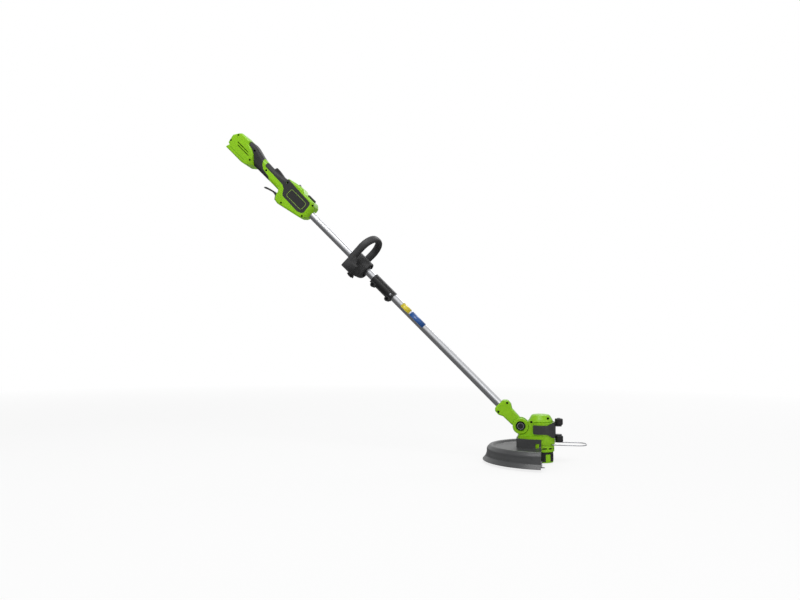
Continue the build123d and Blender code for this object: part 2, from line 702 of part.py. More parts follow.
KNOB_TOP = SADDLE_LOW - GAP
WING = [(5, -44, 0), (11, -45, 2), (14, -53, 2), (10, -54, 2), (5, -51, 0)]
wing_dir = (cos(radians(40)) * ca, sin(radians(40)), -cos(radians(40)) * sa)
wing_normal = (sin(radians(40)) * ca, -cos(radians(40)), -sin(radians(40)) * sa)
wing_plane = Plane(origin=on_shaft(BOLT_U), x_dir=wing_dir, z_dir=wing_normal)

with BuildPart() as clamp_knob:
    add(rod(upright(BOLT_U), 0, 0, 7.5, -55, KNOB_TOP))
    add(slab(wing_plane, WING, -2.4, 2.4))
    add(slab(wing_plane, [(-x, y, r) for x, y, r in reversed(WING)], -2.4, 2.4))
    add(rod(upright(BOLT_U), 0, 0, BOLT_R + RUN, -60, -40), mode=Mode.SUBTRACT)
clamp_knob.part.label = "clamp_knob"

# Neck: two halves on the lower tube, ending in the cheeks of the tilt joint.
NECK = [
    (1089, -16.5, 5), (1096, -24, 7), (1112, -24.5, 8), (1125, -18, 12), (1160, -17, 6), (1186, -10, 0),
    (1186, 10, 0), (1160, 17, 6), (1128, 18.5, 12), (1115, 27, 7), (1100, 28.5, 8), (1089, 17, 5),
]
NECK_SEAT = 13.0

with BuildPart() as neck_whole:
    add(slab(side, NECK, -NECK_HALF, NECK_HALF))
    fillet(neck_whole.edges().group_by(Axis.Y)[0] + neck_whole.edges().group_by(Axis.Y)[-1], 5.0)
    add(rod(side, PIVOT_U, 0, KNUCKLE_R, -CHEEK_OUT, CHEEK_OUT))
    rims = neck_whole.faces().sort_by(Axis.Y)
    fillet(rims[0].edges() + rims[-1].edges(), 2.5)
    neck_cuts = [
        rod(station(0), 0, 0, TUBE_R, NECK_REAR - 10, TUBE_FRONT),
        rod(side, PIVOT_U, 0, KNUCKLE_R + 0.9, -CHEEK_IN, CHEEK_IN),
        rod(side, PIVOT_U, 0, PIN_R, -40, 40),
        rod(side, PIVOT_U, 0, WELL_R, WELL_FLOOR, 40),
        rod(side, PIVOT_U, 0, 13.0, -40, -22),
    ]
    for t in NECK_SCREW_T:
        neck_cuts.append(rod(side, NECK_SCREW_U, t, SCREW_SHANK + RUN, -SCREW_END - RUN, NECK_SEAT))
        neck_cuts.append(rod(side, NECK_SCREW_U, t, SCREW_WELL, NECK_SEAT, 40))
    add(neck_cuts, mode=Mode.SUBTRACT)

with BuildPart() as neck_right:
    add(neck_whole.part)
    split(bisect_by=Plane.XZ, keep=Keep.TOP)
neck_right.part.label = "neck_right"

with BuildPart() as neck_left:
    add(neck_whole.part)
    split(bisect_by=Plane.XZ, keep=Keep.BOTTOM)
neck_left.part.label = "neck_left"

with BuildPart() as neck_screws:
    for t in NECK_SCREW_T:
        add(cross_head(side, NECK_SCREW_U, t, NECK_SEAT))
neck_screws.part.label = "neck_screws"

# Tilt pin with its release button and spring.
BUTTON_R = 8.2
with BuildPart() as tilt_pin:
    add(rod(side, PIVOT_U, 0, PIN_R, -22, 20.5))
    add(rod(side, PIVOT_U, 0, 13.0, -25.6, -22))
    add(rod(side, PIVOT_U, 0, STEM_R + RUN, -21, 30), mode=Mode.SUBTRACT)
    add(rod(side, PIVOT_U, 0, BUTTON_R + RUN, 13.6, 30), mode=Mode.SUBTRACT)
tilt_pin.part.label = "tilt_pin"

with BuildPart() as tilt_ring:
    add(rod(side, PIVOT_U, 0, 13.8, WELL_FLOOR, WELL_FLOOR + 1.5))
    add(rod(side, PIVOT_U, 0, PIN_R, WELL_FLOOR - 1, WELL_FLOOR + 3), mode=Mode.SUBTRACT)
tilt_ring.part.label = "tilt_ring"

with BuildPart() as tilt_button:
    add(rod(side, PIVOT_U, 0, BUTTON_R, 18, 24.4))
    fillet(tilt_button.edges().sort_by(Axis.Y)[:1], 1.5)
    add(rod(side, PIVOT_U, 0, STEM_R, -8, 18))
tilt_button.part.label = "tilt_button"

with BuildPart() as tilt_button_spring:
    add(rod(side, PIVOT_U, 0, 4.6, -21, -12.6))
    add(rod(side, PIVOT_U, 0, 3.6, -22, -12), mode=Mode.SUBTRACT)
tilt_button_spring.part.label = "tilt_button_spring"

# Motor head: two housing halves around the motor, with a barrel that turns between the neck cheeks.
CASE = [
    (0, CASE_LOW, 0), (38, CASE_LOW, 1.5), (CASE_R, -47, 10), (CASE_R, 11.4, 1), (37, 12.4, 0), (0, 12.4, 0),
]
DOME_BACK = 3.0
DOME = [
    (0, 8, 0), (35, 8, 0), (35.5, 13.6, 0.3), (37.8, 14.4, 1.2), (35.2, 21, 10), (27.5, 34.5, 9),
    (18, 36.2, 30), (0, 36.2, 0),
]
CASE_IN = CASE_R - CASE_WALL
SHELF_TOP = MOTOR_LOW
SHELF_LOW = -46.0
BEARING_R = 9.0
HEAD_SCREWS = [(32.7, 13.5, 20.5), (83.1, 25.4, 20.5)]
REAR_BLOCK = [(10, -29, 0), (52, -29, 0), (52, 18, 0), (31, 19, 6), (12, 10, 6)]
FLANGE = [
    (-74, -22, 10), (-44, -36, 16), (-6, -41.5, 10), (4, -41.5, 4), (4, 41.5, 4), (-6, 41.5, 10),
    (-44, 36, 16), (-74, 22, 10),
]
BARREL_HALF = CHEEK_IN - GAP
KNUCKLE_ROOM = KNUCKLE_R + 0.7

# Room for the motor, with a post left standing for the upper screw.
ROOM = [
    (0, SHELF_TOP, 0), (CASE_IN, SHELF_TOP, 0), (CASE_IN, 6, 0), (30, 12, 0), (29, 19, 0), (20.5, 31, 0),
    (0, 31, 0),
]
with BuildPart() as motor_room:
    add(turned_ring(ROOM))
    add(rod(head, *HEAD_SCREWS[1][:2], 4.6, -26, 24), mode=Mode.SUBTRACT)

with BuildPart() as case_whole:
    add(turned_ring(CASE))
    add(
        [
            Pos(-DOME_BACK, 0, 0) * turned_ring(DOME),
            slab(head, REAR_BLOCK, -27, 27),
            slab(level, FLANGE, FLANGE_LOW, FLANGE_TOP),
            rod(head, 0, 0, BARREL_R, -BARREL_HALF, BARREL_HALF),
        ]
    )
    case_cuts = [
        rod(head, 0, 0, KNUCKLE_ROOM, BARREL_HALF, 40),
        rod(head, 0, 0, KNUCKLE_ROOM, -40, -BARREL_HALF),
        rod(head, 0, 0, PIN_R + RUN, -40, 40),
        rod(level, 0, 0, CASE_IN, -60, SHELF_LOW),
        rod(level, 0, 0, BEARING_R, SHELF_LOW - 1, SHELF_TOP + 1),
    ]
    case_cuts.append(motor_room.part)
    for x, z, seat in HEAD_SCREWS:
        case_cuts.append(rod(head, x, z, SCREW_SHANK + RUN, -SCREW_END - RUN, seat))
        case_cuts.append(rod(head, x, z, SCREW_WELL, seat, 60))
    for y in (-1, 1):
        case_cuts.append(rod(turned, WIRE_X, WIRE_Z, WIRE_R + RUN, y * 18, y * 40))
    add(case_cuts, mode=Mode.SUBTRACT)

with BuildPart() as case_right:
    add(case_whole.part)
    split(bisect_by=Plane.XZ, keep=Keep.TOP)
case_right.part.label = "case_right"

with BuildPart() as case_left:
    add(case_whole.part)
    split(bisect_by=Plane.XZ, keep=Keep.BOTTOM)
case_left.part.label = "case_left"

with BuildPart() as head_screws:
    for x, z, seat in HEAD_SCREWS:
        add(cross_head(head, x, z, seat))
head_screws.part.label = "head_screws"

# Dark band round the front, widening to carry the two edging rollers.
BAND_SIDE = [
    (-27, 4.5, 4), (16, 4.5, 14), (33, 13, 10), (50, 13, 0), (50, -34, 0), (33, -34, 10), (16, -22.5, 14),
    (-27, -22.5, 4),
]

with BuildPart() as bumper_band:
    add(turned_ring([(CASE_R, -34, 0), (BAND_R, -34, 1), (BAND_R, 13, 1), (CASE_R, 13, 0)]))
    add(slab(turned, BAND_SIDE, -60, 60), mode=Mode.INTERSECT)
    for low, high in (LUG_UP, LUG_LOW):
        with BuildSketch(level.offset(low)):
            with Locations((ROLLER_X, 0)):
                Circle(8.5)
            with Locations(((ROLLER_X + 34) / 2, 0)):
                Rectangle(ROLLER_X - 34, 17)
        extrude(amount=high - low)
    band_cuts = [
        rod(level, 0, 0, CASE_R, -40, 40),
        rod(level, ROLLER_X, 0, ROLLER_R + 0.7, LUG_UP[1], 40),
        rod(level, ROLLER_X, 0, ROLLER_R + 0.7, -60, LUG_LOW[0]),
        rod(level, ROLLER_X, 0, AXLE_R, -60, 60),
    ]
    add(band_cuts, mode=Mode.SUBTRACT)
bumper_band.part.label = "bumper_band"

ROLLER_UP = LUG_UP[1] + GAP
ROLLER_DOWN = LUG_LOW[0] - GAP
AXLE_UP = ROLLER_UP + ROLLER_TALL + GAP
AXLE_DOWN = ROLLER_DOWN - ROLLER_TALL - GAP

with BuildPart() as roller_axles:
    add(rod(level, ROLLER_X, 0, AXLE_R, LUG_UP[0], AXLE_UP))
    add(rod(level, ROLLER_X, 0, 4.5, AXLE_UP, AXLE_UP + 1.6))
    add(rod(level, ROLLER_X, 0, AXLE_R, AXLE_DOWN, LUG_LOW[1]))
    add(rod(level, ROLLER_X, 0, 4.5, AXLE_DOWN - 1.6, AXLE_DOWN))
roller_axles.part.label = "roller_axles"

with BuildPart() as upper_roller:
    add(rod(level, ROLLER_X, 0, ROLLER_R, ROLLER_UP, ROLLER_UP + ROLLER_TALL))
    fillet(upper_roller.edges().filter_by(GeomType.CIRCLE), 2.4)
    add(rod(level, ROLLER_X, 0, AXLE_R + RUN, -60, 60), mode=Mode.SUBTRACT)
upper_roller.part.label = "upper_roller"

with BuildPart() as lower_roller:
    add(rod(level, ROLLER_X, 0, ROLLER_R, ROLLER_DOWN - ROLLER_TALL, ROLLER_DOWN))
    fillet(lower_roller.edges().filter_by(GeomType.CIRCLE), 2.4)
    add(rod(level, ROLLER_X, 0, AXLE_R + RUN, -60, 60), mode=Mode.SUBTRACT)
lower_roller.part.label = "lower_roller"

# Slotted ring under the housing.
SKIRT_IN = 34.0
SKIRT = [(SKIRT_IN, SKIRT_LOW, 0), (SKIRT_R, SKIRT_LOW, 1), (SKIRT_R, CASE_LOW, 0), (SKIRT_IN, CASE_LOW, 0)]
SKIRT_SLOT = [(-7, -68, 1.5), (7, -68, 1.5), (7, -63.6, 1.5), (-7, -63.6, 1.5)]

with BuildPart() as spool_skirt:
    add(turned_ring(SKIRT))
    skirt_cuts = []
    for angle in (-79, -47, -15, 15, 47, 79):
        skirt_cuts.append(slab(facing(angle), SKIRT_SLOT, SKIRT_IN - 4, SKIRT_R + 4))
    add(skirt_cuts, mode=Mode.SUBTRACT)
spool_skirt.part.label = "spool_skirt"

# Motor, its output shaft and the lower bearing.
with BuildPart() as motor:
    add(rod(level, 0, 0, MOTOR_R, MOTOR_LOW, MOTOR_TOP))
    fillet(motor.edges().filter_by(GeomType.CIRCLE), 2.0)
    add(rod(level, 0, 0, SHAFT_R + GAP, MOTOR_LOW - 1, -28), mode=Mode.SUBTRACT)
motor.part.label = "motor"

with BuildPart() as lower_bearing:
    add(rod(level, 0, 0, BEARING_R, SHELF_LOW, SHELF_TOP))
    add(rod(level, 0, 0, SHAFT_R + RUN, SHELF_LOW - 1, SHELF_TOP + 1), mode=Mode.SUBTRACT)
lower_bearing.part.label = "lower_bearing"

HUB_R = 8.0
HUB_LOW = -104.0
with BuildPart() as drive_shaft:
    add(rod(level, 0, 0, SHAFT_R, -92, -30))
drive_shaft.part.label = "drive_shaft"

# Cutting guard: dished deck, outer wall with a flared lip, collar and mounting deck.
GUARD = [
    (COLLAR_IN, -68, 0), (COLLAR_IN, -46, 0), (COLLAR_R, -46, 0), (COLLAR_R, -60, 3), (52, -65, 10),
    (142, -66.5, 8), (151, -58.5, 5), (161, -58.5, 8), (169.5, -68, 7), (173.5, -91, 3), (175.5, -94, 2),
    (184, -104, 1.2), (180.5, -104, 0.8), (172.5, -96, 2), (170.5, -92, 3), (166.5, -69, 5),
    (159.5, -61.6, 6), (152.2, -61.6, 3), (143.2, -69.6, 6), (60, -68, 0),
]
GUARD_END = [
    (60, -66, 0), (143, -68, 4), (152, -60, 4), (160.5, -60, 4), (168.5, -68.5, 6), (172.5, -92, 3),
    (181, -102.5, 2), (177, -103.5, 2), (163, -100, 10), (140, -80, 30), (60, -71, 0),
]
DECK = [(-78, -30, 12), (-40, -41, 14), (0, -COLLAR_R, 0), (0, COLLAR_R, 0), (-40, 41, 14), (-78, 30, 12)]
DECK_WALL = 3.0
DECK_LOW = -67.0
COLLAR_FRONT = -3.0
TAB_X = (-20.5, -9.5)
TAB_Z = (-69.0, -50.5)
near_end = 180.0 + GUARD_SPAN
far_end = 180.0 - GUARD_SPAN
COLLAR = [
    (COLLAR_IN, -68, 0), (COLLAR_R, -68, 0), (COLLAR_R, FLANGE_LOW, 0), (COLLAR_IN, FLANGE_LOW, 0),
]
COLLAR_CUT = [(COLLAR_FRONT, -100, 0), (60, -100, 0), (60, -20, 0), (COLLAR_FRONT, -20, 0)]
COLLAR_EDGE = 3.0
PANEL_EDGE = 8.0
WALL_PANEL = [(169.2, -73, 0), (175, -73, 0), (178, -88, 0), (171.8, -88, 0)]
TAB_HOLE = [
    (TAB_X[0], TAB_Z[0] - 1, 0), (TAB_X[1], TAB_Z[0] - 1, 0), (TAB_X[1], TAB_Z[1], 0),
    (TAB_X[0], TAB_Z[1], 0),
]
TAB = [(TAB_X[0], TAB_Z[0], 0), (TAB_X[1], TAB_Z[0], 0), (TAB_X[1], TAB_Z[1], 0), (TAB_X[0], TAB_Z[1], 0)]
END_WALL = 3.0
end_face = radial(near_end)
CUTTER_SCREWS = ((154.0, -88.0), (165.0, -94.0))
CUTTER_THICK = 1.8

with BuildPart() as guard:
    add(turned_ring(GUARD, 2 * GUARD_SPAN, far_end))
    add(
        [
            slab(radial(far_end), GUARD_END, -END_WALL, 0),
            slab(end_face, GUARD_END, 0, END_WALL),
            slab(level, DECK, DECK_LOW, FLANGE_LOW),
            turned_ring(COLLAR, 2 * (GUARD_SPAN - COLLAR_EDGE), far_end + COLLAR_EDGE),
        ]
    )
    guard_cuts = [
        slab(level, DECK, DECK_LOW - 5, FLANGE_LOW - DECK_WALL, DECK_WALL),
        rod(level, 0, 0, COLLAR_IN, -120, 0),
        slab(turned, COLLAR_CUT, -50, 50),
        turned_ring(WALL_PANEL, 2 * (GUARD_SPAN - PANEL_EDGE), far_end + PANEL_EDGE),
    ]
    for y in (-1, 1):
        guard_cuts.append(slab(turned, TAB_HOLE, y * 30, y * 46))
    for x, z in CUTTER_SCREWS:
        guard_cuts.append(rod(end_face, x, z, SCREW_SHANK, 0, END_WALL))
    add(guard_cuts, mode=Mode.SUBTRACT)
guard.part.label = "guard"

LATCH_R = COLLAR_R + 0.9
LATCH_RING = [(SKIRT_R, -80, 0), (LATCH_R, -80, 0), (LATCH_R, -40, 0), (SKIRT_R, -40, 0)]

with BuildPart() as guard_latches:
    for y in (-1, 1):
        add(slab(turned, TAB, y * 30, y * 50))
    add(turned_ring(LATCH_RING), mode=Mode.INTERSECT)
    add(rod(level, 0, 0, CASE_R, CASE_LOW, 0), mode=Mode.SUBTRACT)
guard_latches.part.label = "guard_latches"

# Line cutter on the near end of the guard.
end_level = Plane(origin=axis_at, x_dir=end_face.x_dir, z_dir=(0, 0, 1))
CUTTER = [(147, -85, 2), (159, -82, 2), (173, -99, 2), (163, -100.4, 1), (147, -93, 2)]

with BuildPart() as line_cutter:
    add(slab(end_face, CUTTER, -CUTTER_THICK, 0))
    add(slab(end_level, [(163, 0, 0), (172, 0, 0), (169, 11, 0.5), (167, 11, 0.5)], -100.4, -98.6))
    for x, z in CUTTER_SCREWS:
        add(rod(end_face, x, z, SCREW_SHANK, -5, 5), mode=Mode.SUBTRACT)
line_cutter.part.label = "line_cutter"

with BuildPart() as cutter_screws:
    for x, z in CUTTER_SCREWS:
        add(rod(end_face, x, z, SCREW_SHANK, -CUTTER_THICK, END_WALL))
        add(rod(end_face, x, z, SCREW_HEAD, -CUTTER_THICK - 1.8, -CUTTER_THICK))
        for w, h in ((0.45, 1.7), (1.7, 0.45)):
            add(
                slab(
                    end_face, [(x - w, z - h, 0), (x + w, z - h, 0), (x + w, z + h, 0), (x - w, z + h, 0)],
                    -CUTTER_THICK - 3, -CUTTER_THICK - 0.8,
                ),
                mode=Mode.SUBTRACT,
            )
cutter_screws.part.label = "cutter_screws"

# Wire plant guard hinged on the housing.
WIRE_BEND = 5.0
WIRE_CORNER = 24.0
WIRE_END = 21.0
wire_level = level.offset(WIRE_Z)
with BuildPart() as plant_guard:
    with BuildLine(wire_level) as wire_path:
        Line((WIRE_X, -WIRE_END), (WIRE_X, -WIRE_Y + WIRE_BEND))
        ThreePointArc(
            (WIRE_X, -WIRE_Y + WIRE_BEND),
            (WIRE_X + WIRE_BEND * (1 - ca), -WIRE_Y + WIRE_BEND * (1 - sa)),
            (WIRE_X + WIRE_BEND, -WIRE_Y),
        )
        Line((WIRE_X + WIRE_BEND, -WIRE_Y), (WIRE_TIP - WIRE_CORNER, -WIRE_Y))
        ThreePointArc(
            (WIRE_TIP - WIRE_CORNER, -WIRE_Y),
            (WIRE_TIP - WIRE_CORNER * (1 - ca), -WIRE_Y + WIRE_CORNER * (1 - sa)),
            (WIRE_TIP, -WIRE_Y + WIRE_CORNER),
        )
        Line((WIRE_TIP, -WIRE_Y + WIRE_CORNER), (WIRE_TIP, WIRE_Y - WIRE_CORNER))
        ThreePointArc(
            (WIRE_TIP, WIRE_Y - WIRE_CORNER),
            (WIRE_TIP - WIRE_CORNER * (1 - ca), WIRE_Y - WIRE_CORNER * (1 - sa)),
            (WIRE_TIP - WIRE_CORNER, WIRE_Y),
        )
        Line((WIRE_TIP - WIRE_CORNER, WIRE_Y), (WIRE_X + WIRE_BEND, WIRE_Y))
        ThreePointArc(
            (WIRE_X + WIRE_BEND, WIRE_Y),
            (WIRE_X + WIRE_BEND * (1 - ca), WIRE_Y - WIRE_BEND * (1 - sa)),
            (WIRE_X, WIRE_Y - WIRE_BEND),
        )
        Line((WIRE_X, WIRE_Y - WIRE_BEND), (WIRE_X, WIRE_END))
    with BuildSketch(Plane(origin=wire_level.from_local_coords((WIRE_X, -WIRE_END, 0)), z_dir=(0, -1, 0))):
        Circle(WIRE_R)
    sweep()
plant_guard.part.label = "plant_guard"

# Spool head: cup on the output shaft, reel inside, cover with two side tabs.
CUP_WALL = 2.5
REEL_TOP = -83.0
TAB_HALF = 8.0
TAB_TOP = -83.0
TAB_PROUD = 0.7
EYELET_R = 4.6
EYELET_BORE = 2.8
eyelet_angles = (TAB_ANGLE + 90, TAB_ANGLE - 90)
tab_angles = (TAB_ANGLE, TAB_ANGLE + 180)

CUP_IN = CUP_R - CUP_WALL
CUP_ROOF = CUP_TOP - 3.0
COLLAR_TOP = -60.0
CUP = [
    (SHAFT_R, CUP_TOP, 0), (27, CUP_TOP, 0), (27, COLLAR_TOP, 0), (29.5, COLLAR_TOP, 0), (29.5, CUP_TOP, 0),
    (CUP_R, CUP_TOP, 2), (CUP_R, CUP_LOW, 0), (CUP_IN, CUP_LOW, 0), (CUP_IN, CUP_ROOF, 2),
    (HUB_R, CUP_ROOF, 0), (HUB_R, HUB_LOW, 0.6), (SHAFT_R, HUB_LOW, 0),
]
NOTCH_HALF = TAB_HALF + 0.2
NOTCH_TOP = TAB_TOP + 0.2
NOTCH = [
    (-NOTCH_HALF, -110, 0), (NOTCH_HALF, -110, 0), (NOTCH_HALF, NOTCH_TOP, 2), (-NOTCH_HALF, NOTCH_TOP, 2),
]

with BuildPart() as spool_cup:
    add(turned_ring(CUP))
    cup_cuts = []
    for angle in tab_angles:
        cup_cuts.append(slab(facing(angle), NOTCH, 20, 45))
    for angle in eyelet_angles:
        cup_cuts.append(rod(facing(angle), 0, EYELET_Z, EYELET_R, 20, 45))
    add(cup_cuts, mode=Mode.SUBTRACT)
spool_cup.part.label = "spool_cup"

with BuildPart() as line_eyelets:
    for angle in eyelet_angles:
        add(rod(facing(angle), 0, EYELET_Z, EYELET_R, 30.6, 34.6))
        add(rod(facing(angle), 0, EYELET_Z, EYELET_R + 1.1, 33.7, 34.9))
        add(rod(facing(angle), 0, EYELET_Z, EYELET_BORE, 20, 45), mode=Mode.SUBTRACT)
line_eyelets.part.label = "line_eyelets"

COVER_RIB = HUB_LOW - GAP - 0.2
COVER = [
    (0, COVER_LOW - 2.2, 0), (17, COVER_LOW - 2.2, 2), (19, COVER_LOW, 2), (CUP_R, COVER_LOW, 2),
    (CUP_R, CUP_LOW, 0), (12, CUP_LOW, 0), (12, COVER_RIB, 0), (9, COVER_RIB, 0), (9, CUP_LOW, 0),
    (0, CUP_LOW, 0),
]
TAB_R = CUP_R + TAB_PROUD
TAB_RING = [(CUP_IN, CUP_LOW - 1, 0), (TAB_R, CUP_LOW - 1, 0), (TAB_R, TAB_TOP, 0.6), (CUP_IN, TAB_TOP, 0)]
TAB_FACE = [(-TAB_HALF, -110, 0), (TAB_HALF, -110, 0), (TAB_HALF, TAB_TOP, 3), (-TAB_HALF, TAB_TOP, 3)]

with BuildPart() as cover_tabs:
    add([slab(facing(angle), TAB_FACE, 20, 45) for angle in tab_angles])
    add(turned_ring(TAB_RING), mode=Mode.INTERSECT)

with BuildPart() as spool_cover:
    add(turned_ring(COVER))
    add(cover_tabs.part)
spool_cover.part.label = "spool_cover"

REEL_R = 29.0
REEL_CORE = 13.0
REEL_LOW = -103.6
REEL = [
    (HUB_R + RUN, REEL_TOP, 0), (REEL_R, REEL_TOP, 0.8), (REEL_R, REEL_TOP - 2, 0.8),
    (REEL_CORE, REEL_TOP - 2, 1), (REEL_CORE, -102, 1), (REEL_R, -102, 0.8), (REEL_R, REEL_LOW, 0.6),
    (HUB_R + RUN, REEL_LOW, 0),
]

with BuildPart() as line_spool:
    add(turned_ring(REEL))
line_spool.part.label = "line_spool"

with BuildPart() as spool_spring:
    add(turned_ring([(9, -82.6, 0), (11.5, -82.6, 0), (11.5, CUP_ROOF, 0), (9, CUP_ROOF, 0)]))
spool_spring.part.label = "spool_spring"

export_step(housing_right.part, "parts/housing_right.step")
export_step(housing_left.part, "parts/housing_left.step")
export_step(rear_pad_right.part, "parts/rear_pad_right.step")
export_step(rear_pad_left.part, "parts/rear_pad_left.step")
export_step(grip_inlay_right.part, "parts/grip_inlay_right.step")
export_step(grip_inlay_left.part, "parts/grip_inlay_left.step")
export_step(label_plate_right.part, "parts/label_plate_right.step")
export_step(label_plate_left.part, "parts/label_plate_left.step")
export_step(housing_screws.part, "parts/housing_screws.step")
export_step(trigger.part, "parts/trigger.step")
export_step(trigger_pin.part, "parts/trigger_pin.step")
export_step(trigger_spring.part, "parts/trigger_spring.step")
export_step(lock_off_lever.part, "parts/lock_off_lever.step")
export_step(lock_off_pin.part, "parts/lock_off_pin.step")
export_step(lock_off_spring.part, "parts/lock_off_spring.step")
export_step(trigger_switch.part, "parts/trigger_switch.step")
export_step(control_board.part, "parts/control_board.step")
export_step(terminal_block.part, "parts/terminal_block.step")
export_step(contact_blades.part, "parts/contact_blades.step")
export_step(top_lug.part, "parts/top_lug.step")
export_step(lamp_stud.part, "parts/lamp_stud.step")
export_step(upper_tube.part, "parts/upper_tube.step")
export_step(lower_tube.part, "parts/lower_tube.step")
export_step(coupler_sleeve.part, "parts/coupler_sleeve.step")
export_step(coupler_bolts.part, "parts/coupler_bolts.step")
export_step(coupler_nuts.part, "parts/coupler_nuts.step")
export_step(coupler_catch.part, "parts/coupler_catch.step")
export_step(catch_spring.part, "parts/catch_spring.step")
export_step(loop_handle.part, "parts/loop_handle.step")
export_step(handle_clamp.part, "parts/handle_clamp.step")
export_step(clamp_bolt.part, "parts/clamp_bolt.step")
export_step(clamp_knob.part, "parts/clamp_knob.step")
export_step(neck_right.part, "parts/neck_right.step")
export_step(neck_left.part, "parts/neck_left.step")
export_step(neck_screws.part, "parts/neck_screws.step")
export_step(tilt_pin.part, "parts/tilt_pin.step")
export_step(tilt_ring.part, "parts/tilt_ring.step")
export_step(tilt_button.part, "parts/tilt_button.step")
export_step(tilt_button_spring.part, "parts/tilt_button_spring.step")
export_step(case_right.part, "parts/case_right.step")
export_step(case_left.part, "parts/case_left.step")
export_step(head_screws.part, "parts/head_screws.step")
export_step(bumper_band.part, "parts/bumper_band.step")
export_step(roller_axles.part, "parts/roller_axles.step")
export_step(upper_roller.part, "parts/upper_roller.step")
export_step(lower_roller.part, "parts/lower_roller.step")
export_step(spool_skirt.part, "parts/spool_skirt.step")
export_step(motor.part, "parts/motor.step")
export_step(lower_bearing.part, "parts/lower_bearing.step")
export_step(drive_shaft.part, "parts/drive_shaft.step")
export_step(guard.part, "parts/guard.step")
export_step(guard_latches.part, "parts/guard_latches.step")
export_step(line_cutter.part, "parts/line_cutter.step")
export_step(cutter_screws.part, "parts/cutter_screws.step")
export_step(plant_guard.part, "parts/plant_guard.step")
export_step(spool_cup.part, "parts/spool_cup.step")
export_step(line_eyelets.part, "parts/line_eyelets.step")
export_step(spool_cover.part, "parts/spool_cover.step")
export_step(line_spool.part, "parts/line_spool.step")
export_step(spool_spring.part, "parts/spool_spring.step")
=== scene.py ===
import math

import bmesh
import bpy
from mathutils import Matrix, Vector


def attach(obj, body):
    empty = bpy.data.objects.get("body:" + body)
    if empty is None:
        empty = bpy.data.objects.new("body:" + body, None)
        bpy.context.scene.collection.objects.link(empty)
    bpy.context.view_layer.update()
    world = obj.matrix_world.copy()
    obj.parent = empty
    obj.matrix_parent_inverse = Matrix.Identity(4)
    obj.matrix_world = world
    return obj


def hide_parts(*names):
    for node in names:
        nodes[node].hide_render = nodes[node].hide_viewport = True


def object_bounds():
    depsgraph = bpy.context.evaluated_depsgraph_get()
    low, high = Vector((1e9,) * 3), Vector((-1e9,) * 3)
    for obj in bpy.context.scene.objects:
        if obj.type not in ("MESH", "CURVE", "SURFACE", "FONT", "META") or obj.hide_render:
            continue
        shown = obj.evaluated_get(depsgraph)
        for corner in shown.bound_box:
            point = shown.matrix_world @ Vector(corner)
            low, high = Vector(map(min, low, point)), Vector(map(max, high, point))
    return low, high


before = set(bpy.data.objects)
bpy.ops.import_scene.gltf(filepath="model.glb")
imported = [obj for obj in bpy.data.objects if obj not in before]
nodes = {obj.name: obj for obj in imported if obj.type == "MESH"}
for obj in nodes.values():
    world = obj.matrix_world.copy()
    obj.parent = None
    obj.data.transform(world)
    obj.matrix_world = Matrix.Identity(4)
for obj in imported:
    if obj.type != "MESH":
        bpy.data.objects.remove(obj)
cad_low, cad_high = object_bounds()

# Shared directions and places, in metres: the shaft falls forward at 45 degrees in the XZ plane.
DIAG = math.sqrt(0.5)
ALONG = Vector((DIAG, 0, -DIAG))
OUT = Vector((DIAG, 0, DIAG))
NEAR = Vector((0, -1, 0))
PIVOT = ALONG * 1.183
SPOOL = PIVOT + Vector((0.0645, 0, 0))
TUBE_R = 0.0127
FRONT_HALF = 0.027
CUP_R = 0.0335
CUP_MIDDLE = SPOOL + Vector((0, 0, -0.0925))
ROLLER_R = 0.012
UPPER_ROLLER = SPOOL + Vector((0.0516, 0, 0.0140))
LOWER_ROLLER = SPOOL + Vector((0.0516, 0, -0.0380))
LOOP_MIDDLE = ALONG * 0.434
LOOP_TURN = math.radians(5.0)
LOOP_ACROSS = ALONG * math.cos(LOOP_TURN) + NEAR * math.sin(LOOP_TURN)


class Value:
    """A node's output that takes part in plain arithmetic."""

    def __init__(self, graph, socket):
        self.graph = graph
        self.socket = socket

    def maths(self, operation, first, second):
        return self.graph.node("ShaderNodeMath", {"operation": operation}, {0: first, 1: second})

    def __add__(self, other):
        return self.maths("ADD", self, other)

    def __sub__(self, other):
        return self.maths("SUBTRACT", self, other)

    def __rsub__(self, other):
        return self.maths("SUBTRACT", other, self)

    def __mul__(self, other):
        return self.maths("MULTIPLY", self, other)

    def __or__(self, other):
        return self.maths("MAXIMUM", self, other)

    __radd__ = __add__
    __rmul__ = __mul__
    __ror__ = __or__


class Graph:
    """A node tree, filled one node at a time. A socket that joins several links gets a list of them."""

    def __init__(self, tree):
        self.tree = tree

    def node(self, kind, settings=None, sockets=None, out=0):
        item = self.tree.nodes.new(kind)
        for key, value in (settings or {}).items():
            if key == "stops":
                while len(item.color_ramp.elements) < len(value):
                    item.color_ramp.elements.new(0.5)
                for element, (place, shade) in zip(item.color_ramp.elements, value):
                    element.position = place
                    element.color = shade
            else:
                setattr(item, key, value)
        for key, given in (sockets or {}).items():
            for value in given if isinstance(given, list) else [given]:
                if isinstance(value, Value):
                    self.tree.links.new(value.socket, item.inputs[key])
                else:
                    item.inputs[key].default_value = value
        return Value(self, item.outputs[out]) if item.outputs else item


# A Mix node has one set of sockets for each kind of data: these are the colour's.
MIX_FACTOR, MIX_FIRST, MIX_SECOND, MIX_RESULT = 0, 6, 7, 2

# Where most values of a pattern lie: of one noise, of a noise with a share of a second, of a cell grain.
NOISE_SPAN = (0.3, 0.7)
SUM_SPAN = (0.4, 0.9)
CELL_SPAN = (0.0, 0.8)

# The share of the second noise in a sum.
SECOND_SHARE = 0.3
GREEN_GRAIN_SHARE = 0.35


